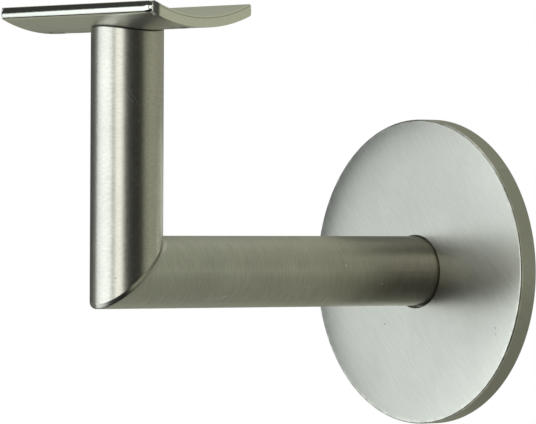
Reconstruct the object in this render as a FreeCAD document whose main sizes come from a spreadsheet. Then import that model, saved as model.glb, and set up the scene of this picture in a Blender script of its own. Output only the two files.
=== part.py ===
"""Handrail bracket: wall flange and cover rosette, straight arm, mitred post and curved saddle.

Frame: the origin is the centre of the fixing on the wall's face. The wall is the plane Y = 0 and the
bracket stands out of it along -Y. The rail runs along X and Z is up. All lengths are in millimetres.
"""
import FreeCAD
import Part
import Sketcher
import math
import os

SIZES = [
    # Bar stock and main distances
    ("bar_diameter", 16.0, "round bar that the arm and the post are cut from"),
    ("post_offset", 90.0, "wall face to the post's axis"),
    ("saddle_height", 52.8, "arm's axis to the saddle's underside on the post's axis"),
    ("post_edge_break", 0.3, "chamfer round the post's top"),
    # Saddle: a flat strip with rounded long edges, rolled to a trough
    ("rail_radius", 30.5, "inside radius of the trough"),
    ("saddle_thickness", 2.5, "thickness of the strip"),
    ("saddle_width", 28.8, "width of the strip, measured flat at mid-thickness"),
    ("saddle_length", 53.2, "length of the strip along the rail"),
    ("saddle_offset", -0.9, "saddle's middle from the post's axis, along X"),
    ("saddle_edge_radius", 1.3, "rounding of the strip's lower long edges"),
    ("saddle_arris_radius", 0.4, "rounding of the strip's upper long edges"),
    ("saddle_corner_radius", 0.3, "corner radius in plan"),
    ("saddle_corner_margin", 0.02, "plan outline outside the strip's long edges"),
    ("rail_hole_diameter", 7.0, "holes for the rail screws"),
    ("rail_hole_spacing", 43.0, "between the rail screws"),
    # Countersunk socket screw that holds the saddle on the post
    ("screw_diameter", 6.0, "thread's major diameter"),
    ("screw_length", 16.0, "whole length, head included"),
    ("screw_head_diameter", 12.0, "head"),
    ("screw_head_land", 0.3, "straight rim of the head above its 90 degree cone"),
    ("screw_end_chamfer", 0.8, "point of the screw"),
    ("screw_socket", 4.0, "hexagon socket across its flats"),
    ("screw_socket_depth", 2.3, "depth of the socket"),
    ("head_clearance", 0.1, "radial gap round the head's rim"),
    ("thread_clearance", 0.05, "radial gap between screw and tapped hole"),
    ("mouth_clearance", 0.4, "radial gap between the head's cone and the post's mouth"),
    ("tapping_runout", 4.0, "tapped hole below the screw's point"),
    # Wall flange, under the rosette
    ("flange_thickness", 3.0, "flange plate"),
    ("flange_chamfer", 0.5, "front edge of the flange"),
    ("flange_fit", 0.05, "radial gap between the arm and the flange's bore"),
    ("arm_recess", 1.8, "arm's end in from the wall's face"),
    ("weld_leg", 1.5, "legs of the ring weld behind the arm's end"),
    ("wall_hole_count", 3, "wall screws"),
    ("wall_hole_circle", 46.0, "circle through the wall screws"),
    ("wall_hole_diameter", 5.5, "wall screw holes"),
    ("wall_countersink", 10.5, "countersink of the wall screw holes at the flange's front"),
    # Cover rosette
    ("rosette_diameter", 70.0, "outside of the rosette"),
    ("rosette_depth", 5.0, "wall face to the rosette's front"),
    ("rosette_wall", 1.2, "wall of the rosette"),
    ("rosette_edge_radius", 0.6, "rounding of the rosette's front edge"),
    ("rosette_bore_break", 0.2, "chamfer of the bore's front edge"),
    ("rosette_bore_gap", 0.5, "radial gap between the arm and the rosette's bore"),
    ("rosette_seat_gap", 0.15, "radial gap between the flange and the rosette's skirt"),
]

# Sizes that follow from the sheet, as expressions that both the sketches and the code read
BAR_RADIUS = "(Sizes.bar_diameter / 2)"
SEAT_RADIUS = "(Sizes.rail_radius + Sizes.saddle_thickness)"
SEAT_CENTRE = f"(Sizes.saddle_height + {SEAT_RADIUS})"
TROUGH = "(Sizes.saddle_height + Sizes.saddle_thickness)"
HALF_ANGLE = f"(Sizes.saddle_width / (Sizes.rail_radius + {SEAT_RADIUS}) * 180deg / pi)"
EDGE_CENTRE = f"(sqrt(({SEAT_RADIUS} - Sizes.saddle_edge_radius)^2 - Sizes.saddle_edge_radius^2))"
PLAN_HALF_WIDTH = (f"({EDGE_CENTRE} * sin({HALF_ANGLE}) + Sizes.saddle_edge_radius * (1 - cos({HALF_ANGLE}))"
                   " + Sizes.saddle_corner_margin)")
HEAD_RADIUS = "(Sizes.screw_head_diameter / 2)"
SCREW_RADIUS = "(Sizes.screw_diameter / 2)"
CONE_FOOT = f"(Sizes.screw_head_land + {HEAD_RADIUS} - {SCREW_RADIUS})"
TAPPED_RADIUS = f"({SCREW_RADIUS} + Sizes.thread_clearance)"
MOUTH_RADIUS = f"({HEAD_RADIUS} + Sizes.screw_head_land - Sizes.saddle_thickness + Sizes.mouth_clearance)"
SKIRT_RADIUS = "(Sizes.rosette_diameter / 2 - Sizes.rosette_wall)"
FLANGE_RADIUS = f"({SKIRT_RADIUS} - Sizes.rosette_seat_gap)"
FLANGE_BORE = f"({BAR_RADIUS} + Sizes.flange_fit)"
HOLE_RADIUS = "(Sizes.wall_hole_diameter / 2)"
SINK_RADIUS = "(Sizes.wall_countersink / 2)"
ROSETTE_BORE = f"({BAR_RADIUS} + Sizes.rosette_bore_gap)"

NEAR = 1e-4

doc = FreeCAD.newDocument("HandrailBracket")
sheet = doc.addObject("Spreadsheet::Sheet", "Sizes")
for row, (alias, size, meaning) in enumerate(SIZES, start=1):
    sheet.set(f"A{row}", meaning)
    sheet.set(f"B{row}", str(size))
    sheet.setAlias(f"B{row}", alias)
doc.recompute()


def value(expression):
    """The number that an expression on the size sheet gives."""
    result = sheet.evalExpression(expression)
    return float(getattr(result, "Value", result))


def new_body(name, x="0", y="0", z="0"):
    """A sub-part's body, with its own frame at a place given by expressions."""
    body = doc.addObject("PartDesign::Body", name)
    body.Label = name
    for axis, expression in zip("xyz", (x, y, z)):
        body.setExpression(f"Placement.Base.{axis}", expression)
    return body


def new_sketch(body, name, plane, along_x="0", along_y="0", out="0"):
    """A sketch on one of the body's own planes, shifted in its own axes by expressions."""
    sketch = body.newObject("Sketcher::SketchObject", name)
    support = next(part for part in body.Origin.OriginFeatures if part.Role == plane)
    sketch.AttachmentSupport = [(support, "")]
    sketch.MapMode = "FlatFace"
    for axis, expression in zip("xyz", (along_x, along_y, out)):
        sketch.setExpression(f"AttachmentOffset.Base.{axis}", expression)
    return sketch


def hold(sketch, kind, references, expression):
    """Add a dimension to the sketch and bind it to an expression."""
    index = sketch.addConstraint(Sketcher.Constraint(kind, *references, value(expression)))
    sketch.setExpression(f"Constraints[{index}]", expression)


def hold_point(sketch, geometry, end, x, y):
    """Hold one point of a sketch at a place given by expressions."""
    hold(sketch, "DistanceX", (-1, 1, geometry, end), x)
    hold(sketch, "DistanceY", (-1, 1, geometry, end), y)


def draw_polygon(sketch, corners):
    """Draw a closed outline of straight lines with each corner at its own expressions."""
    points = [FreeCAD.Vector(value(x), value(y), 0) for x, y in corners]
    first = len(sketch.Geometry)
    for start, end in zip(points, points[1:] + points[:1]):
        sketch.addGeometry(Part.LineSegment(start, end))
    for index, (x, y) in enumerate(corners):
        following = first + (index + 1) % len(corners)
        sketch.addConstraint(Sketcher.Constraint("Coincident", first + index, 2, following, 1))
        hold_point(sketch, first + index, 1, x, y)


def draw_circle(sketch, x, y, radius):
    """Draw a circle with its centre and radius held by expressions."""
    centre = FreeCAD.Vector(value(x), value(y), 0)
    circle = sketch.addGeometry(Part.Circle(centre, FreeCAD.Vector(0, 0, 1), value(radius)))
    hold_point(sketch, circle, 3, x, y)
    hold(sketch, "Radius", (circle,), radius)


def pad(body, sketch, length, symmetric=False, flip=False):
    """Extrude a sketch by an expression's length."""
    feature = body.newObject("PartDesign::Pad", f"{sketch.Name}_pad")
    feature.Profile = sketch
    feature.setExpression("Length", length)
    feature.SideType = "Symmetric" if symmetric else "One side"
    feature.Reversed = flip
    doc.recompute()
    return feature


def removes(body, feature):
    """Check that a cutting feature has taken material off its body."""
    before = feature.BaseFeature.Shape.Volume
    doc.recompute()
    if not feature.Shape.Volume < before - NEAR:
        raise RuntimeError(f"{feature.Name} cuts nothing from {body.Label}")
    return feature


def cut_through(body, sketch):
    """Cut a sketch's outline right through the body, both ways from its plane."""
    feature = body.newObject("PartDesign::Pocket", f"{sketch.Name}_cut")
    feature.Profile = sketch
    feature.Type = "ThroughAll"
    feature.SideType = "Symmetric"
    return removes(body, feature)


def turn(body, sketch, axis):
    """Revolve a sketch about one of its own axes to make a solid."""
    feature = body.newObject("PartDesign::Revolution", f"{sketch.Name}_turned")
    feature.Profile = sketch
    feature.ReferenceAxis = (sketch, [axis])
    feature.Angle = 360.0
    doc.recompute()
    return feature


def bore(body, sketch, axis):
    """Revolve a sketch about one of its own axes to cut a round recess."""
    feature = body.newObject("PartDesign::Groove", f"{sketch.Name}_bored")
    feature.Profile = sketch
    feature.ReferenceAxis = (sketch, [axis])
    feature.Angle = 360.0
    return removes(body, feature)


def break_edges(body, kind, dimension, size, wanted):
    """Fillet or chamfer the edges of the body's tip that the test picks out."""
    base = body.Tip
    names = [f"Edge{number}" for number, edge in enumerate(base.Shape.Edges, start=1) if wanted(edge)]
    if not names:
        raise RuntimeError(f"{body.Label} has no edge for its {kind.lower()}")
    feature = body.newObject(f"PartDesign::{kind}", f"{body.Name}_{kind.lower()}_{len(body.Group)}")
    feature.Base = (base, names)
    feature.setExpression(dimension, size)
    doc.recompute()
    return feature


def is_ring(radius, height, axis):
    """A test for the circular edges of one radius at one place along an axis of the body."""
    def wanted(edge):
        if not isinstance(edge.Curve, Part.Circle):
            return False
        centre = getattr(edge.Curve.Center, axis)
        return abs(edge.Curve.Radius - value(radius)) < NEAR and abs(centre - value(height)) < NEAR
    return wanted


def mitre(body, keep_above):
    """Cut a bar at the 45 degree plane through its frame's X axis."""
    sketch = new_sketch(body, f"{body.Name}_mitre", "YZ_Plane")
    reach = "Sizes.bar_diameter"
    off_corner = (reach, f"-{reach}") if keep_above else (f"-{reach}", reach)
    draw_polygon(sketch, [(f"-{reach}", f"-{reach}"), off_corner, (reach, reach)])
    return cut_through(body, sketch)


def make_post():
    """Vertical bar: mitred foot, top profiled to the saddle and tapped for its screw."""
    body = new_body("post", y="-Sizes.post_offset")
    section = new_sketch(body, "post_section", "XY_Plane", out=f"-{BAR_RADIUS}")
    draw_circle(section, "0", "0", BAR_RADIUS)
    pad(body, section, f"{BAR_RADIUS} + Sizes.saddle_height + {BAR_RADIUS}")
    mitre(body, keep_above=True)
    seat = new_sketch(body, "post_seat", "YZ_Plane")
    draw_circle(seat, "0", SEAT_CENTRE, SEAT_RADIUS)
    cut_through(body, seat)

    def is_top_rim(edge):
        return edge.CenterOfMass.z > value("Sizes.saddle_height")

    break_edges(body, "Chamfer", "Size", "Sizes.post_edge_break", is_top_rim)
    hole = new_sketch(body, "post_tapping", "YZ_Plane", along_y="Sizes.saddle_height")
    foot = "(Sizes.saddle_thickness - Sizes.screw_length - Sizes.tapping_runout)"
    drill_tip = f"({foot} - {TAPPED_RADIUS} * tan(31deg))"
    draw_polygon(hole, [
        ("0", BAR_RADIUS),
        (f"{MOUTH_RADIUS} + {BAR_RADIUS}", BAR_RADIUS),
        (TAPPED_RADIUS, f"{TAPPED_RADIUS} - {MOUTH_RADIUS}"),
        (TAPPED_RADIUS, foot),
        ("0", drill_tip),
    ])
    bore(body, hole, "V_Axis")
    return body


def make_arm():
    """Horizontal bar from the flange to the mitre."""
    body = new_body("arm", y="-Sizes.post_offset")
    section = new_sketch(body, "arm_section", "XZ_Plane", out=BAR_RADIUS)
    draw_circle(section, "0", "0", BAR_RADIUS)
    pad(body, section, f"{BAR_RADIUS} + Sizes.post_offset - Sizes.arm_recess", flip=True)
    mitre(body, keep_above=False)
    return body


def make_saddle():
    """Rolled strip with rounded edges, rail screw holes and a countersunk middle hole."""
    body = new_body("saddle_plate", x="Sizes.saddle_offset", y="-Sizes.post_offset")
    section = new_sketch(body, "saddle_section", "YZ_Plane")
    centre = FreeCAD.Vector(0, value(SEAT_CENTRE), 0)
    half_angle = math.radians(value(HALF_ANGLE))
    down = -math.pi / 2
    for radius in (SEAT_RADIUS, "Sizes.rail_radius"):
        circle = Part.Circle(centre, FreeCAD.Vector(0, 0, 1), value(radius))
        section.addGeometry(Part.ArcOfCircle(circle, down - half_angle, down + half_angle))
    outer, inner = 0, 1
    for end in (1, 2):
        points = [section.getPoint(arc, end) for arc in (outer, inner)]
        line = section.addGeometry(Part.LineSegment(*points))
        section.addConstraint(Sketcher.Constraint("Coincident", line, 1, outer, end))
        section.addConstraint(Sketcher.Constraint("Coincident", line, 2, inner, end))
    hold_point(section, outer, 3, "0", SEAT_CENTRE)
    section.addConstraint(Sketcher.Constraint("Coincident", inner, 3, outer, 3))
    for arc, radius in ((outer, SEAT_RADIUS), (inner, "Sizes.rail_radius")):
        hold(section, "Radius", (arc,), radius)
        hold(section, "DistanceX", (-1, 1, arc, 1), f"-{radius} * sin({HALF_ANGLE})")
        hold(section, "DistanceX", (-1, 1, arc, 2), f"{radius} * sin({HALF_ANGLE})")
    pad(body, section, "Sizes.saddle_length + Sizes.bar_diameter", symmetric=True)

    for radius, rounding in ((SEAT_RADIUS, "Sizes.saddle_edge_radius"),
                             ("Sizes.rail_radius", "Sizes.saddle_arris_radius")):
        break_edges(body, "Fillet", "Radius", rounding, long_edge_at(value(radius)))
    trim_saddle_plan(body)
    holes = new_sketch(body, "saddle_rail_holes", "XY_Plane")
    for side in ("", "-"):
        draw_circle(holes, f"{side}Sizes.rail_hole_spacing / 2", "0", "Sizes.rail_hole_diameter / 2")
    cut_through(body, holes)
    sink = new_sketch(body, "saddle_screw_hole", "XZ_Plane", along_x="-Sizes.saddle_offset", along_y=TROUGH)
    rim = f"({HEAD_RADIUS} + Sizes.head_clearance)"
    cone_end = f"({HEAD_RADIUS} + Sizes.screw_head_land - 2 * Sizes.saddle_thickness)"
    draw_polygon(sink, [
        ("0", BAR_RADIUS),
        (rim, BAR_RADIUS),
        (rim, "Sizes.head_clearance - Sizes.screw_head_land"),
        (cone_end, "-2 * Sizes.saddle_thickness"),
        ("0", "-2 * Sizes.saddle_thickness"),
    ])
    bore(body, sink, "V_Axis")
    return body


def long_edge_at(radius):
    """A test for straight edges along the rail, that far from the trough's axis."""

    def wanted(edge):
        middle = edge.CenterOfMass
        reach = math.hypot(middle.y, middle.z - value(SEAT_CENTRE))
        return abs(middle.x) < NEAR and abs(reach - radius) < NEAR

    return wanted


def trim_saddle_plan(body):
    """Cut the rolled strip to length with rounded corners, seen from above."""
    plan = new_sketch(body, "saddle_plan", "XY_Plane")
    half_length = "(Sizes.saddle_length / 2)"
    corner = "Sizes.saddle_corner_radius"
    long_side, short_side, radius = value(half_length), value(PLAN_HALF_WIDTH), value(corner)
    arcs = []
    for quarter in range(4):
        along = 1 if quarter in (0, 3) else -1
        across = 1 if quarter in (0, 1) else -1
        centre = FreeCAD.Vector(along * (long_side - radius), across * (short_side - radius), 0)
        circle = Part.Circle(centre, FreeCAD.Vector(0, 0, 1), radius)
        start = quarter * math.pi / 2
        arc = plan.addGeometry(Part.ArcOfCircle(circle, start, start + math.pi / 2))
        signs = ("" if along > 0 else "-", "" if across > 0 else "-")
        hold_point(plan, arc, 3, f"{signs[0]}({half_length} - {corner})",
                   f"{signs[1]}({PLAN_HALF_WIDTH} - {corner})")
        arcs.append(arc)
    hold(plan, "Radius", (arcs[0],), corner)
    for arc in arcs[1:]:
        plan.addConstraint(Sketcher.Constraint("Equal", arcs[0], arc))
    for arc, following in zip(arcs, arcs[1:] + arcs[:1]):
        side = plan.addGeometry(Part.LineSegment(plan.getPoint(arc, 2), plan.getPoint(following, 1)))
        plan.addConstraint(Sketcher.Constraint("Tangent", arc, 2, side, 1))
        plan.addConstraint(Sketcher.Constraint("Tangent", side, 2, following, 1))
    reach = "(Sizes.saddle_length + Sizes.saddle_width)"
    draw_polygon(plan, [
        (reach, reach),
        (f"-{reach}", reach),
        (f"-{reach}", f"-{reach}"),
        (reach, f"-{reach}"),
    ])
    return cut_through(body, plan)


def make_screw():
    """Countersunk hexagon socket screw, flush with the bottom of the trough."""
    body = new_body("saddle_screw", y="-Sizes.post_offset", z=TROUGH)
    outline = new_sketch(body, "screw_outline", "XZ_Plane")
    point = "(-Sizes.screw_length)"
    draw_polygon(outline, [
        ("0", "0"),
        (HEAD_RADIUS, "0"),
        (HEAD_RADIUS, "-Sizes.screw_head_land"),
        (SCREW_RADIUS, f"-{CONE_FOOT}"),
        (SCREW_RADIUS, f"{point} + Sizes.screw_end_chamfer"),
        (f"{SCREW_RADIUS} - Sizes.screw_end_chamfer", point),
        ("0", point),
    ])
    turn(body, outline, "V_Axis")
    socket = new_sketch(body, "screw_socket", "XY_Plane")
    across_corners = "(Sizes.screw_socket / cos(30deg))"
    draw_polygon(socket, [
        (f"{across_corners} / 2 * cos({60 * corner}deg)", f"{across_corners} / 2 * sin({60 * corner}deg)")
        for corner in range(6)
    ])
    recess = body.newObject("PartDesign::Pocket", "screw_socket_cut")
    recess.Profile = socket
    recess.setExpression("Length", "Sizes.screw_socket_depth")
    removes(body, recess)
    return body


def make_flange():
    """Round plate with a bore for the arm and countersunk wall screw holes."""
    body = new_body("wall_flange")
    outline = new_sketch(body, "flange_outline", "XY_Plane")
    draw_polygon(outline, [
        (FLANGE_BORE, "0"),
        (FLANGE_BORE, "-Sizes.flange_thickness"),
        (FLANGE_RADIUS, "-Sizes.flange_thickness"),
        (FLANGE_RADIUS, "0"),
    ])
    turn(body, outline, "V_Axis")
    front_rim = is_ring(FLANGE_RADIUS, "-Sizes.flange_thickness", "y")
    break_edges(body, "Chamfer", "Size", "Sizes.flange_chamfer", front_rim)
    hole = new_sketch(body, "flange_wall_hole", "YZ_Plane", along_y="-Sizes.wall_hole_circle / 2")
    sink_depth = f"({SINK_RADIUS} - {HOLE_RADIUS})"
    draw_polygon(hole, [
        (BAR_RADIUS, "0"),
        (BAR_RADIUS, HOLE_RADIUS),
        (f"{sink_depth} - Sizes.flange_thickness", HOLE_RADIUS),
        ("-Sizes.flange_thickness", SINK_RADIUS),
        (f"-Sizes.flange_thickness - {BAR_RADIUS}", SINK_RADIUS),
        (f"-Sizes.flange_thickness - {BAR_RADIUS}", "0"),
    ])
    first = bore(body, hole, "H_Axis")
    ring = body.newObject("PartDesign::PolarPattern", "flange_wall_holes")
    ring.Originals = [first]
    ring.Axis = (outline, ["V_Axis"])
    ring.Angle = 360.0
    ring.setExpression("Occurrences", "Sizes.wall_hole_count")
    body.Tip = ring
    return body


def make_weld():
    """Ring of weld metal in the corner between the arm's end and the flange's bore."""
    body = new_body("wall_weld", y="-Sizes.arm_recess")
    outline = new_sketch(body, "weld_outline", "XY_Plane")
    draw_polygon(outline, [
        (f"{FLANGE_BORE} - Sizes.weld_leg", "0"),
        (FLANGE_BORE, "0"),
        (FLANGE_BORE, "Sizes.weld_leg"),
    ])
    turn(body, outline, "V_Axis")
    return body


def make_rosette():
    """Thin round cover that hangs on the flange's rim and clears the arm."""
    body = new_body("cover_rosette", z="-Sizes.rosette_seat_gap")
    outline = new_sketch(body, "rosette_outline", "XY_Plane")
    rim = "(Sizes.rosette_diameter / 2)"
    inside = "(Sizes.rosette_wall - Sizes.rosette_depth)"
    draw_polygon(outline, [
        (ROSETTE_BORE, "-Sizes.rosette_depth"),
        (rim, "-Sizes.rosette_depth"),
        (rim, "0"),
        (SKIRT_RADIUS, "0"),
        (SKIRT_RADIUS, inside),
        (ROSETTE_BORE, inside),
    ])
    turn(body, outline, "V_Axis")
    front_rim = is_ring(rim, "-Sizes.rosette_depth", "y")
    break_edges(body, "Fillet", "Radius", "Sizes.rosette_edge_radius", front_rim)
    bore_rim = is_ring(ROSETTE_BORE, "-Sizes.rosette_depth", "y")
    break_edges(body, "Chamfer", "Size", "Sizes.rosette_bore_break", bore_rim)
    return body


bodies = [
    make_flange(),
    make_weld(),
    make_arm(),
    make_post(),
    make_saddle(),
    make_screw(),
    make_rosette(),
]
doc.recompute()

for item in doc.Objects:
    if {"Invalid", "Error"} & set(item.State):
        raise RuntimeError(f"{item.Name} failed: {item.State}")
for body in bodies:
    if body.Shape.isNull() or not body.Shape.isValid() or len(body.Shape.Solids) != 1:
        raise RuntimeError(f"{body.Label} has no valid single solid")

os.makedirs("parts", exist_ok=True)
for body in bodies:
    body.Shape.exportStep(f"parts/{body.Label}.step")
    print(f"{body.Label}: {body.Shape.Volume:.1f} mm3")
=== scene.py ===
"""Handrail bracket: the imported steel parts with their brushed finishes, in a small photo studio."""
import math

import bmesh
import bpy
from mathutils import Matrix, Vector


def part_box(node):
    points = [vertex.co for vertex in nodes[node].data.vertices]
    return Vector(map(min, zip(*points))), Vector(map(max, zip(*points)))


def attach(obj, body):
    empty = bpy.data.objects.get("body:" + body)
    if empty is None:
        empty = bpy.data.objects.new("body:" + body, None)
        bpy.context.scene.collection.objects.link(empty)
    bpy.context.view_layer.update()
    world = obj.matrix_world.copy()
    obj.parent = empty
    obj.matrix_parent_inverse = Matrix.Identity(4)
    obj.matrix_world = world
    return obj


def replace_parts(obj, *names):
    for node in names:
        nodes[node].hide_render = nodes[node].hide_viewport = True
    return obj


MM = 0.001

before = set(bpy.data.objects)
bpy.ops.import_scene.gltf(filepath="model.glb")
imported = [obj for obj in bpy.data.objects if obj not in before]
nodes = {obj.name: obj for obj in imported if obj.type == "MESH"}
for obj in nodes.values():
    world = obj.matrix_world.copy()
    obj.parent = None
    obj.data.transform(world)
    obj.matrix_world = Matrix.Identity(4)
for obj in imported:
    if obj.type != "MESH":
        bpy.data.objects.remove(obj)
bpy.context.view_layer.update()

# ---------------------------------------------------------------- places read from the frame

ARM_LOW, ARM_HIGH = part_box("arm")
SADDLE_LOW, SADDLE_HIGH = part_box("saddle_plate")
ROSETTE_LOW, ROSETTE_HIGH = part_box("cover_rosette")

BAR_RADIUS = (ARM_HIGH.x - ARM_LOW.x) / 2
POST_Y = ARM_LOW.y + BAR_RADIUS
SADDLE_X = (SADDLE_LOW.x + SADDLE_HIGH.x) / 2
SADDLE_Y = (SADDLE_LOW.y + SADDLE_HIGH.y) / 2
SADDLE_HALF_LENGTH = (SADDLE_HIGH.x - SADDLE_LOW.x) / 2
SADDLE_HALF_WIDTH = (SADDLE_HIGH.y - SADDLE_LOW.y) / 2
ROSETTE_RADIUS = (ROSETTE_HIGH.x - ROSETTE_LOW.x) / 2
ROSETTE_FRONT = ROSETTE_LOW.y
ROSETTE_Z = (ROSETTE_LOW.z + ROSETTE_HIGH.z) / 2
AIM = Vector((0, POST_Y / 2, 10 * MM))
UP = Vector((0, 0, 1))

# Sizes of the part that the frame's boxes don't give
SADDLE_THICKNESS = 2.5 * MM
SADDLE_EDGE_RADIUS = 1.3 * MM
TROUGH_RADIUS = 30.5 * MM
TROUGH_Z = SADDLE_LOW.z + SADDLE_THICKNESS + TROUGH_RADIUS

# ---------------------------------------------------------------- nodes for materials


class Shader:
    """A node tree with short ways to add and join nodes."""

    def __init__(self, owner):
        owner.use_nodes = True
        self.tree = owner.node_tree
        self.tree.nodes.clear()

    def add(self, kind, feeds=(), **settings):
        """Add a node, set its properties, then feed its sockets with values or other nodes' outputs."""
        made = self.tree.nodes.new(f"ShaderNode{kind}")
        for name, setting in settings.items():
            setattr(made, name, setting)
        for socket, source in dict(feeds).items():
            if isinstance(source, bpy.types.NodeSocket):
                self.tree.links.new(source, made.inputs[socket])
            else:
                made.inputs[socket].default_value = source
        return made

    def math(self, operation, first, second=0.0):
        return self.add("Math", {0: first, 1: second}, operation=operation).outputs[0]

    def place(self):
        """The point on the surface, in the row frame, in metres."""
        return self.add("TexCoord").outputs["Object"]

    def axes(self):
        """The x, y and z of the point on the surface."""
        return self.add("SeparateXYZ", {0: self.place()}).outputs

    def from_middle(self, along, middle):
        """How far a coordinate is from a middle, on either side."""
        return self.math("ABSOLUTE", self.math("SUBTRACT", along, middle))

    def radius(self, first, second):
        """The distance from an axis, out of the two coordinates across it."""
        squares = self.math("ADD", self.math("MULTIPLY", first, first), self.math("MULTIPLY", second, second))
        return self.math("SQRT", squares)

    def distance(self, point):
        """How far the surface is from a point, in metres."""
        return self.add("VectorMath", {0: self.place(), 1: point}, operation="DISTANCE").outputs["Value"]

    def stretched(self, scale, turn=(0, 0, 0)):
        """The point on the surface, turned and then scaled along each axis."""
        turned = self.add("Mapping", {"Vector": self.place(), "Rotation": turn})
        return self.add("Mapping", {"Vector": turned.outputs[0], "Scale": scale}).outputs[0]

    def noise(self, vector, scale=1.0, detail=2.0):
        return self.add("TexNoise", {"Vector": vector, "Scale": scale, "Detail": detail}).outputs["Fac"]

    def remap(self, value, low, high, to_low, to_high):
        """Spread a range of values over another one, held at its ends."""
        sockets = {"Value": value, "From Min": low, "From Max": high, "To Min": to_low, "To Max": to_high}
        return self.add("MapRange", sockets).outputs[0]

    def blend(self, share, first, second, how="MIX"):
        """Mix two colours, or multiply the first by the second."""
        sockets = {0: share, 6: first, 7: second}
        return self.add("Mix", sockets, data_type="RGBA", blend_type=how).outputs[2]


def grey(level, tint=(1, 1, 1)):
    """A colour of that level for a colour socket."""
    return (level * tint[0], level * tint[1], level * tint[2], 1.0)


# ---------------------------------------------------------------- brushed steel

# Tints of the steel: most of it, the painted shade on the arm near the wall, the post, and the saddle's cut ends
STEEL_TINT = (1.0, 0.995, 0.885)
WARM_TINT = (1.04, 0.97, 0.83)
POST_TINT = (1.035, 1.0, 0.875)
CUT_TINT = (1, 1, 0.86)

# Noise scales per metre. STREAK and MILL_ACROSS lie across the grain, CROSS and MILL_ALONG along it.
STREAK = 2600
CROSS = 260
COARSE = 900
MILL_ACROSS = 2500
MILL_ALONG = 600
SPECKLE_SCALE = 3200.0
CLOUD_SCALE = 90.0

# Shares of grain, speckle and cloud in the tone, and of grain and speckle in the height
TONE_SHARES = (0.5, 0.2, 0.3)
HEIGHT_SHARES = (0.7, 0.3)
TONE_RANGE = (0.38, 0.62)
GRAIN_RANGE = (0.3, 0.7)
ROUGHNESS_SWING = 0.08
GRAIN_DEPTH = 0.007 * MM


def brushed(name, level, roughness, streaks, turn=(0, 0, 0), contrast=0.07, marks=None, spread=None,
            anisotropy=0.0, tint=STEEL_TINT, depth=GRAIN_DEPTH):
    """Brushed steel. The streaks' three scales are per metre and are large across the grain.

    Reflections are blurred most along the spread direction, which lies across the grain.
    """
    material = bpy.data.materials.new(name)
    s = Shader(material)
    grain = s.noise(s.stretched(streaks, turn), detail=6.0)
    speckle = s.noise(s.place(), SPECKLE_SCALE, 3.0)
    cloud = s.noise(s.place(), CLOUD_SCALE, 4.0)

    def weighted(noises, shares):
        parts = [s.math("MULTIPLY", noise, share) for noise, share in zip(noises, shares)]
        total = parts[0]
        for part in parts[1:]:
            total = s.math("ADD", total, part)
        return total

    share = s.remap(weighted((grain, speckle, cloud), TONE_SHARES), *TONE_RANGE, 0.0, 1.0)
    look = {
        "colour": s.blend(share, grey(level * (1 - contrast), tint), grey(level * (1 + contrast), tint)),
        "roughness": s.remap(grain, *GRAIN_RANGE, roughness * (1 - ROUGHNESS_SWING),
                             roughness * (1 + ROUGHNESS_SWING)),
        "height": weighted((grain, speckle), HEIGHT_SHARES),
    }
    if marks:
        marks(s, look)
    bump = s.add("Bump", {"Height": look["height"], "Distance": depth, "Strength": 1.0})
    feeds = {
        "Base Color": look["colour"],
        "Metallic": 1.0,
        "Roughness": look["roughness"],
        "Normal": bump.outputs[0],
    }
    if spread:
        feeds["Tangent"] = s.add("CombineXYZ", dict(enumerate(spread))).outputs[0]
        feeds["Anisotropic"] = anisotropy
    shader = s.add("BsdfPrincipled", feeds)
    s.add("OutputMaterial", {"Surface": shader.outputs[0]})
    return material


def paint(node, material):
    """Put the material in each of the node's material slots."""
    slots = nodes[node].data.materials
    for index in range(len(slots)):
        slots[index] = material
    if not slots:
        slots.append(material)


# ---------------------------------------------------------------- marks on the steel

# Places and sizes of marks are in millimetres in the row frame
BRIGHT_MARK = grey(1.0)
PALE_MARK = grey(0.9)
DARK_MARK = grey(0.12)
SPECK_CORE = 0.4
SCRATCH_CORE = 0.3
SCRATCH_TAPER = 0.7


def stain(s, look, share, colour):
    """Lay a colour over the steel where the share is 1."""
    look["colour"] = s.blend(share, look["colour"], colour)


def raise_height(s, look, share, height):
    """Add a share of a height, counted in the grain's own depth."""
    look["height"] = s.math("ADD", look["height"], s.math("MULTIPLY", share, height))


def specks(s, look, points, radius, colour):
    """Small round marks at points on the surface, fading at their edges."""
    for point in points:
        away = s.distance(tuple(part * MM for part in point))
        stain(s, look, s.remap(away, radius * SPECK_CORE * MM, radius * MM, 1.0, 0.0), colour)


def scratch(s, look, start, end, width, colour):
    """A fine straight scratch between two points, fading at its sides and ends."""
    start, end = Vector(start) * MM, Vector(end) * MM
    middle = (start + end) / 2
    along = (end - start).normalized()
    offset = s.add("VectorMath", {0: s.place(), 1: tuple(middle)}, operation="SUBTRACT").outputs[0]
    run = s.add("VectorMath", {0: offset, 1: tuple(along)}, operation="DOT_PRODUCT").outputs["Value"]
    reach = s.add("VectorMath", {0: offset}, operation="LENGTH").outputs["Value"]
    squared = s.math("SUBTRACT", s.math("MULTIPLY", reach, reach), s.math("MULTIPLY", run, run))
    aside = s.math("SQRT", s.math("MAXIMUM", squared, 0.0))
    narrow = s.remap(aside, width * SCRATCH_CORE * MM, width * MM, 1.0, 0.0)
    half = (end - start).length / 2
    short = s.remap(s.math("ABSOLUTE", run), half * SCRATCH_TAPER, half, 1.0, 0.0)
    stain(s, look, s.math("MULTIPLY", narrow, short), colour)


SEAM_CORE = 0.12 * MM
SEAM_EDGE = 0.42 * MM
SEAM_SOFT = 1.1 * MM
SEAM_HEIGHT = 20.0
SEAM_LOW = -5 * MM
SEAM_HIGH = 1 * MM


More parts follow.
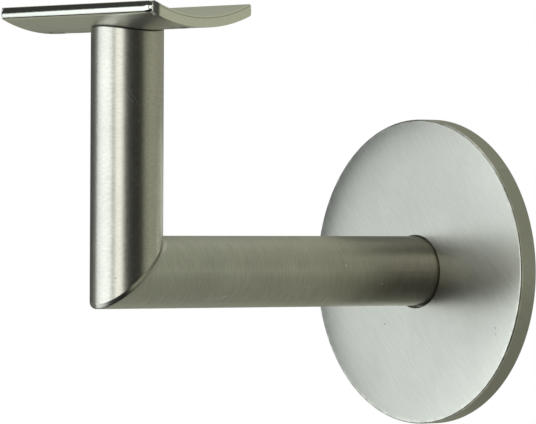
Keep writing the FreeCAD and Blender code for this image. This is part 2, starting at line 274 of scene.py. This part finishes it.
def mitre_seam(s, look):
    """A fine dark line where the post's mitre meets the arm's: a dark joint, with painted shade that makes it
    plainest at its foot.
    """
    axes = s.axes()
    aside = s.from_middle(s.math("SUBTRACT", axes["Z"], axes["Y"]), -POST_Y)
    line = s.remap(aside, SEAM_CORE, SEAM_EDGE, 1.0, 0.0)
    # Painted shade: the dark line is made stronger towards its foot.
    strength = s.remap(axes["Z"], SEAM_LOW, SEAM_HIGH, 0.85, 0.15)
    stain(s, look, s.math("MULTIPLY", line, strength), grey(0.13))
    raise_height(s, look, s.remap(aside, 0.0, SEAM_SOFT, 0.0, 1.0), SEAM_HEIGHT)


def trough_depth(s):
    """How far the surface is below the trough that the rail lies in."""
    axes = s.axes()
    below = s.math("SUBTRACT", TROUGH_Z, axes["Z"])
    aside = s.math("SUBTRACT", axes["Y"], SADDLE_Y)
    return s.math("SUBTRACT", s.radius(below, aside), TROUGH_RADIUS)


def post_marks(s, look):
    """The seam, pits, specks with fine scratches on the front, and a painted shadow on the top rim, under the
    saddle.
    """
    mitre_seam(s, look)
    y = POST_Y / MM
    specks(s, look, [(4.2, y - 6.8, -2.7), (7.5, y - 2.8, 33.0)], radius=0.22, colour=BRIGHT_MARK)
    specks(s, look, [(4.5, y - 6.6, -1.2), (6.9, y - 4.1, 40.5)], radius=0.18, colour=DARK_MARK)
    scratch(s, look, (6.3, y - 4.9, 40.0), (7.5, y - 2.8, 36.6), width=0.16, colour=BRIGHT_MARK)
    scratch(s, look, (6.1, y - 5.2, 38.6), (7.1, y - 3.7, 36.9), width=0.13, colour=BRIGHT_MARK)
    # Painted shadow: a dark band on the post's top rim, just under the saddle.
    under_saddle = s.math("SUBTRACT", trough_depth(s), SADDLE_THICKNESS)
    stain(s, look, s.remap(under_saddle, 0.15 * MM, 0.45 * MM, 0.8, 0.0), grey(0.1))


WALL_SHADE_START = 0.75


def arm_marks(s, look):
    """The seam, painted shade that makes the arm darker and warmer towards the wall, and a few scratches."""
    # Painted shade: the arm's colour is darkened and warmed towards the wall.
    wall_shade = s.remap(s.axes()["Y"], POST_Y * WALL_SHADE_START, 0.0, 0.0, 0.75)
    look["colour"] = s.blend(wall_shade, look["colour"], grey(0.8, WARM_TINT), how="MULTIPLY")
    mitre_seam(s, look)
    scratch(s, look, (5.2, -69.0, -6.1), (6.2, -66.0, -5.1), width=0.14, colour=grey(0.95))
    scratch(s, look, (5.9, -65.2, -5.4), (6.9, -63.6, -4.0), width=0.10, colour=PALE_MARK)
    specks(s, look, [(7.5, -21.8, -2.8), (7.9, -33.0, 1.4)], radius=0.35, colour=grey(0.85))
    specks(s, look, [(5.5, -10.0, -5.8), (7.2, -44.0, -3.5)], radius=0.2, colour=PALE_MARK)
    specks(s, look, [(4.1, -87.0, -6.9)], radius=0.25, colour=DARK_MARK)


RIPPLE_SPACING = 0.7 * MM
RIPPLE_HEIGHT = 4.0
BLUE_HEAT = grey(0.36, (0.9, 0.95, 1.25))
STRAW_HEAT = grey(0.46, (1.2, 0.98, 0.62))


def weld_marks(s, look):
    """Ripples round the weld, and straw and blue heat tints."""
    axes = s.axes()
    uneven = s.math("MULTIPLY", s.noise(s.place(), 400.0), 1.5 * MM)
    ring = s.math("ADD", s.radius(axes["X"], axes["Z"]), uneven)
    blue = s.remap(ring, BAR_RADIUS - 2.0 * MM, BAR_RADIUS + 0.5 * MM, 0.0, 0.7)
    stain(s, look, blue, BLUE_HEAT)
    straw = s.remap(ring, BAR_RADIUS + 0.2 * MM, BAR_RADIUS + 1.6 * MM, 0.0, 0.8)
    stain(s, look, straw, STRAW_HEAT)
    ripple = s.math("SINE", s.math("MULTIPLY", ring, 2 * math.pi / RIPPLE_SPACING))
    raise_height(s, look, ripple, RIPPLE_HEIGHT)


SKIRT_START = 0.7 * MM
SKIRT_FULL = 1.3 * MM
SKIRT_SHARE = 0.8
ARRIS_OUTER = 0.3 * MM
ARRIS_INNER = 1.0 * MM
ARRIS_ROUGHNESS = 0.42


def rosette_marks(s, look):
    """Painted shade round the skirt, a painted highlight along the arris and a few spots on the face."""
    axes = s.axes()
    # Painted shade: the skirt is darkened, with a mottle in it.
    skirt = s.remap(axes["Y"], ROSETTE_FRONT + SKIRT_START, ROSETTE_FRONT + SKIRT_FULL, 0.0, SKIRT_SHARE)
    mottle = s.noise(s.place(), 900.0, 4.0)
    stain(s, look, skirt, s.blend(mottle, grey(0.40, STEEL_TINT), grey(0.52, STEEL_TINT)))
    # Painted highlight: the arris is lightened in patches, and made rougher there.
    radius = s.radius(axes["X"], axes["Z"])
    rim = s.remap(radius, ROSETTE_RADIUS - ARRIS_INNER, ROSETTE_RADIUS - ARRIS_OUTER, 0.0, 1.0)
    off_skirt = s.remap(skirt, 0.0, SKIRT_SHARE, 1.0, 0.0)
    patches = s.remap(s.noise(s.place(), 420.0, 5.0), 0.42, 0.6, 0.0, 0.85)
    rim_highlight = s.math("MULTIPLY", s.math("MULTIPLY", rim, off_skirt), patches)
    stain(s, look, rim_highlight, grey(0.86, STEEL_TINT))
    look["roughness"] = s.remap(rim_highlight, 0.0, 1.0, look["roughness"], ARRIS_ROUGHNESS)
    y = ROSETTE_FRONT / MM
    specks(s, look, [(-10.4, y, -12.4), (27.0, y, -12.6), (27.1, y, -14.0)], radius=0.3, colour=grey(0.2))
    specks(s, look, [(29.7, y, -12.4), (29.4, y, -13.4), (31.6, y, -7.0)], radius=0.2, colour=grey(0.25))


SADDLE_ROUGHNESS = 0.36
POLISHED_ROUGHNESS = 0.15
POLISHED_HEIGHT = 0.2
POLISHED_FULL = 0.6 * MM
CUT_ROUGHNESS = 0.24
CUT_START = 0.06 * MM
CUT_FULL = 0.02 * MM
CUT_LINE_DEPTH = 0.45 * MM


def saddle_marks(s, look):
    """Polished long edges with a painted highlight, a pale trough, and pale cut ends with a fine line along them.
    """
    axes = s.axes()
    across = s.from_middle(axes["Y"], SADDLE_Y)
    polish_and_sheen = s.remap(across, SADDLE_HALF_WIDTH - SADDLE_EDGE_RADIUS, SADDLE_HALF_WIDTH - POLISHED_FULL, 0.0, 1.0)
    look["roughness"] = s.remap(polish_and_sheen, 0.0, 1.0, SADDLE_ROUGHNESS, POLISHED_ROUGHNESS)
    # Painted highlight: the polished long edges are also lightened, besides being smoother.
    stain(s, look, polish_and_sheen, grey(0.82, STEEL_TINT))
    along = s.from_middle(axes["X"], SADDLE_X)
    cut = s.remap(along, SADDLE_HALF_LENGTH - CUT_START, SADDLE_HALF_LENGTH - CUT_FULL, 0.0, 1.0)
    mottle = s.noise(s.place(), 1500.0, 4.0)
    stain(s, look, cut, s.blend(mottle, grey(0.86, CUT_TINT), grey(0.98, CUT_TINT)))
    look["roughness"] = s.remap(cut, 0.0, 1.0, look["roughness"], CUT_ROUGHNESS)
    look["height"] = s.math("MULTIPLY", look["height"], s.remap(polish_and_sheen, 0.0, 1.0, 1.0, POLISHED_HEIGHT))
    depth = trough_depth(s)
    shallow = s.remap(depth, 0.03 * MM, 0.12 * MM, 1.0, 0.0)
    inside = s.math("MULTIPLY", shallow, s.remap(cut, 0.0, 1.0, 1.0, 0.0))
    stain(s, look, inside, grey(0.86, STEEL_TINT))
    line = s.remap(s.from_middle(depth, CUT_LINE_DEPTH), 0.03 * MM, 0.14 * MM, 0.7, 0.0)
    stain(s, look, s.math("MULTIPLY", line, cut), grey(0.3))


# ---------------------------------------------------------------- pieces made here


def add_mesh(name, points, faces, material):
    """A new object with a mesh of its own, linked into the scene."""
    mesh = bpy.data.meshes.new(name)
    mesh.from_pydata(points, [], faces)
    mesh.materials.append(material)
    made = bpy.data.objects.new(name, mesh)
    bpy.context.scene.collection.objects.link(made)
    return made


def add_piece(name, points, faces, material, smooth_angle):
    """A mesh piece of the bracket, smooth except at its arrises."""
    piece = add_mesh(name, points, faces, material)
    piece.data.polygons.foreach_set("use_smooth", [True] * len(piece.data.polygons))
    piece.data.set_sharp_from_angle(angle=math.radians(smooth_angle))
    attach(piece, "root")
    return piece


FRONT_CORNER = 2.7 * MM
TIP_CORNER = 0.6 * MM
CORNER_CUTS = 7
MERGE_DISTANCE = 0.001 * MM


def make_saddle(material):
    """The saddle's own mesh with its corners rounded in plan, the front right and rear left ones most.

    Cuts near the ends and the long edges give the mesh the points that the rounding moves.
    """
    body = bmesh.new()
    body.from_mesh(nodes["saddle_plate"].data)
    bmesh.ops.remove_doubles(body, verts=body.verts, dist=MERGE_DISTANCE)
    middle = (SADDLE_X, SADDLE_Y)
    half = (SADDLE_HALF_LENGTH, SADDLE_HALF_WIDTH)
    for axis in (0, 1):
        normal = Vector((0, 0, 0))
        normal[axis] = 1
        for radius in (FRONT_CORNER, TIP_CORNER):
            for cut in range(CORNER_CUTS):
                reach = half[axis] - radius * (1 - cut / CORNER_CUTS)
                for side in (-1, 1):
                    everything = body.verts[:] + body.edges[:] + body.faces[:]
                    place = normal * (middle[axis] + side * reach)
                    bmesh.ops.bisect_plane(body, geom=everything, plane_co=place, plane_no=normal)
    for vertex in body.verts:
        offset = [vertex.co[axis] - middle[axis] for axis in (0, 1)]
        radius = FRONT_CORNER if offset[0] * offset[1] < 0 else TIP_CORNER
        shares = [(abs(offset[axis]) - half[axis] + radius) / radius for axis in (0, 1)]
        if min(shares) > 0:
            pull = max(shares) / math.hypot(*shares)
            for axis in (0, 1):
                reach = half[axis] - radius + radius * shares[axis] * pull
                vertex.co[axis] = middle[axis] + math.copysign(reach, offset[axis])
    bmesh.ops.remove_doubles(body, verts=body.verts, dist=MERGE_DISTANCE)
    bmesh.ops.triangulate(body, faces=body.faces)
    points = [tuple(vertex.co) for vertex in body.verts]
    faces = [tuple(vertex.index for vertex in face.verts) for face in body.faces]
    body.free()
    piece = add_piece("saddle_rolled", points, faces, material, smooth_angle=35)
    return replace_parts(piece, "saddle_plate")


def ring_faces(turns, stations):
    """Faces of a closed ring whose points run station by station round each turn's closed section."""
    faces = []
    for turn in range(turns):
        after = (turn + 1) % turns
        for station in range(stations):
            following = (station + 1) % stations
            faces.append((
                turn * stations + station,
                after * stations + station,
                after * stations + following,
                turn * stations + following,
            ))
    return faces


ROSETTE_WALL = 1.2 * MM
ROSETTE_EDGE = 0.4 * MM
ROSETTE_BORE_GAP = 0.28 * MM
ROSETTE_BORE_BREAK = 0.2 * MM
ROSETTE_CROWN = 0.43 * MM
CROWN_START = 14 * MM
CROWN_POWER = 5
FACE_RINGS = 28
EDGE_STEPS = 8
ROSETTE_TURNS = 240


def rosette_section():
    """Half section of the rosette as radius and Y, with the front crowned back towards the rim."""
    bore = BAR_RADIUS + ROSETTE_BORE_GAP
    inside = ROSETTE_FRONT + ROSETTE_WALL
    flat_end = ROSETTE_RADIUS - ROSETTE_EDGE
    front_start = bore + ROSETTE_BORE_BREAK

    def crowned(radius):
        share = max(0.0, (radius - CROWN_START) / (flat_end - CROWN_START))
        return ROSETTE_FRONT + ROSETTE_CROWN * share ** CROWN_POWER

    section = [
        (ROSETTE_RADIUS - ROSETTE_WALL, inside),
        (ROSETTE_RADIUS - ROSETTE_WALL, 0.0),
        (ROSETTE_RADIUS, 0.0),
    ]
    for step in range(EDGE_STEPS + 1):
        turn = math.pi / 2 * step / EDGE_STEPS
        radius = flat_end + ROSETTE_EDGE * math.cos(turn)
        section.append((radius, crowned(flat_end) + ROSETTE_EDGE * (1 - math.sin(turn))))
    for ring in range(1, FACE_RINGS + 1):
        radius = flat_end + (front_start - flat_end) * ring / FACE_RINGS
        section.append((radius, crowned(radius)))
    section += [(bore, ROSETTE_FRONT + ROSETTE_BORE_BREAK), (bore, inside)]
    return section


def make_rosette(material):
    """The pressed cover, turned from its half section."""
    section = rosette_section()
    points = []
    for turn in range(ROSETTE_TURNS):
        angle = 2 * math.pi * turn / ROSETTE_TURNS
        for radius, y in section:
            points.append((radius * math.cos(angle), y, ROSETTE_Z + radius * math.sin(angle)))
    faces = ring_faces(ROSETTE_TURNS, len(section))
    piece = add_piece("rosette_cover", points, faces, material, smooth_angle=30)
    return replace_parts(piece, "cover_rosette")


# ---------------------------------------------------------------- finishes

# The rosette's grain runs diagonally, this angle from upright
GRAIN_ANGLE = math.radians(43)
GRAIN_TURN = (0, GRAIN_ANGLE - math.pi / 2, 0)
ACROSS_GRAIN = (math.cos(GRAIN_ANGLE), 0, math.sin(GRAIN_ANGLE))

paint("post", brushed("post_brushed", 0.62, 0.30, (COARSE, COARSE, STREAK), contrast=0.11, marks=post_marks,
                      tint=POST_TINT, depth=3 * GRAIN_DEPTH))
paint("arm", brushed("arm_brushed", 0.62, 0.34, (CROSS, STREAK, CROSS), contrast=0.12, marks=arm_marks,
                     spread=(0, 1, 0), anisotropy=0.2))
make_saddle(brushed("saddle_satin", 0.66, SADDLE_ROUGHNESS, (CROSS, STREAK, STREAK), marks=saddle_marks))
paint("wall_flange", brushed("flange_mill", 0.55, 0.38, (MILL_ALONG, MILL_ACROSS, MILL_ACROSS)))
paint("wall_weld", brushed("weld_bead", 0.44, 0.40, (COARSE, COARSE, COARSE), marks=weld_marks))
paint("saddle_screw", brushed("screw_turned", 0.60, 0.30, (CROSS, CROSS, STREAK)))
make_rosette(brushed("rosette_brushed", 0.61, 0.30, (CROSS, CROSS, STREAK), GRAIN_TURN, marks=rosette_marks,
                     spread=ACROSS_GRAIN, anisotropy=0.65, depth=0.2 * GRAIN_DEPTH))

# ---------------------------------------------------------------- camera

# Solved from the photo's outline
IMAGE_WIDTH = 536
SENSOR_WIDTH = 36.0
FOCAL_PIXELS = 4790.463
CAMERA_AZIMUTH = math.radians(49.689)
CAMERA_ELEVATION = math.radians(0.075)
CAMERA_ROLL = math.radians(0.267)
CAMERA_DISTANCE = 1076.2 * MM
CAMERA_SIDE = -3.398 * MM
CAMERA_RISE = 3.372 * MM

level_right = Vector((math.cos(CAMERA_AZIMUTH), math.sin(CAMERA_AZIMUTH), 0))
level_forward = UP.cross(level_right)
forward = math.cos(CAMERA_ELEVATION) * level_forward + math.sin(CAMERA_ELEVATION) * UP
upright = level_right.cross(forward)
camera_right = math.cos(CAMERA_ROLL) * level_right + math.sin(CAMERA_ROLL) * upright
camera_up = math.cos(CAMERA_ROLL) * upright - math.sin(CAMERA_ROLL) * level_right

lens = bpy.data.cameras.new("camera")
lens.sensor_width = SENSOR_WIDTH
lens.lens = FOCAL_PIXELS * SENSOR_WIDTH / IMAGE_WIDTH
lens.clip_start = 0.01
lens.clip_end = 50
camera = bpy.data.objects.new("camera", lens)
bpy.context.scene.collection.objects.link(camera)
camera.location = AIM - forward * CAMERA_DISTANCE + camera_right * CAMERA_SIDE + camera_up * CAMERA_RISE
camera.rotation_euler = Matrix((camera_right, camera_up, -forward)).transposed().to_euler()
bpy.context.scene.camera = camera

# ---------------------------------------------------------------- studio

CARD_RADIUS = 0.9
BEHIND = 1.03 * CARD_RADIUS
CARD_STEPS = 20

COOL = (0.93, 1.0, 1.04)
FAINT_COOL = (0.975, 1.0, 0.985)
OLIVE = (0.97, 1.0, 0.82)
NEUTRAL = (0.95, 1.0, 0.97)


def towards(bearing, rise):
    """Direction from the bracket: degrees right of the line to the camera, and degrees above level."""
    turn = math.radians(bearing)
    level = math.sin(turn) * level_right - math.cos(turn) * level_forward
    return math.cos(math.radians(rise)) * level + math.sin(math.radians(rise)) * UP


def card(name, left, right, low, high, colour, level, top_level=None, radius=CARD_RADIUS, lean=0):
    """A curved card round the bracket that the steel mirrors but the camera doesn't see.

    It reaches between two bearings and two rises. Its top may have a level of its own, and its left edge
    may lean in by some degrees at the top.
    """
    stride = CARD_STEPS + 1
    points = []
    for column in range(stride):
        for row in range(stride):
            rise = low + (high - low) * row / CARD_STEPS
            edge = left + lean * row / CARD_STEPS
            bearing = edge + (right - edge) * column / CARD_STEPS
            points.append(AIM + radius * towards(bearing, rise))
    faces = [
        (i * stride + j, (i + 1) * stride + j, (i + 1) * stride + j + 1, i * stride + j + 1)
        for i in range(CARD_STEPS)
        for j in range(CARD_STEPS)
    ]
    material = bpy.data.materials.new(name)
    s = Shader(material)
    foot, head = (AIM.z + radius * math.sin(math.radians(rise)) for rise in (low, high))
    strength = s.remap(s.axes()["Z"], foot, head, level, level if top_level is None else top_level)
    glow = s.add("Emission", {"Color": grey(1.0, colour), "Strength": strength})
    s.add("OutputMaterial", {"Surface": glow.outputs[0]})
    obj = add_mesh(name, points, faces, material)
    obj.visible_camera = False
    obj.visible_diffuse = False
    obj.visible_shadow = False


KEY_WATTS = 8.0
KEY_SIZE = 1.0
KEY_DISTANCE = 1.5
KEY_BEARING = -70
KEY_RISE = 40


def add_lamp():
    """A large soft lamp that gives the floor its shadow. The steel mirrors the cards in its place."""
    lamp = bpy.data.lights.new("key", "AREA")
    lamp.shape = "DISK"
    lamp.size = KEY_SIZE
    lamp.energy = KEY_WATTS
    obj = bpy.data.objects.new("key", lamp)
    bpy.context.scene.collection.objects.link(obj)
    direction = towards(KEY_BEARING, KEY_RISE)
    obj.location = AIM + KEY_DISTANCE * direction
    obj.rotation_euler = direction.to_track_quat("Z", "Y").to_euler()
    obj.visible_glossy = False


FLOOR_DROP = 1.2
FLOOR_RADIUS = 9.0
FLOOR_STEPS = 96


def add_floor():
    """A plain pale floor well below the bracket, which hangs on a wall that isn't shown."""
    material = bpy.data.materials.new("floor_pale")
    s = Shader(material)
    tone = s.remap(s.noise(s.place(), 3.0), 0.3, 0.7, 0.0, 1.0)
    colour = s.blend(tone, grey(0.90), grey(0.93))
    shader = s.add("BsdfPrincipled", {"Base Color": colour, "Roughness": 0.9})
    s.add("OutputMaterial", {"Surface": shader.outputs[0]})
    rim = []
    for step in range(FLOOR_STEPS):
        turn = 2 * math.pi * step / FLOOR_STEPS
        rim.append((FLOOR_RADIUS * math.cos(turn), FLOOR_RADIUS * math.sin(turn), -FLOOR_DROP))
    floor = add_mesh("floor", rim, [tuple(range(FLOOR_STEPS))], material)


def light_world():
    """Even white light from all round, which the steel also mirrors between the cards."""
    world = bpy.data.worlds.new("studio")
    s = Shader(world)
    white = s.add("Background", {"Color": grey(1.0), "Strength": 1.0})
    s.add("OutputWorld", {"Surface": white.outputs[0]})
    bpy.context.scene.world = world


card("left_softbox_outer", -119, -97, -33, 13, COOL, 1.21, lean=20)
card("left_softbox_middle", -97, -84, -33, 20, COOL, 1.36)
card("left_softbox", -84, -46.5, -33, 34, COOL, 1.63)
card("front_softbox", -37.5, -12, -16, 32, FAINT_COOL, 1.68)
card("front_flag", -135, 52, -75, 66, NEUTRAL, 0.01, top_level=0.05, radius=BEHIND)
card("side_card", 52, 165, -75, 66, OLIVE, 0.26, top_level=0.40, radius=BEHIND)
card("side_strip", 66, 104, -9, 13, OLIVE, 0.40)
card("back_card", 165, 225, -75, 66, OLIVE, 0.34, radius=BEHIND)
card("back_flag", 165, 245, -12, 12, NEUTRAL, 0.08)
add_lamp()
add_floor()
light_world()
bpy.context.scene.view_settings.view_transform = "Standard"
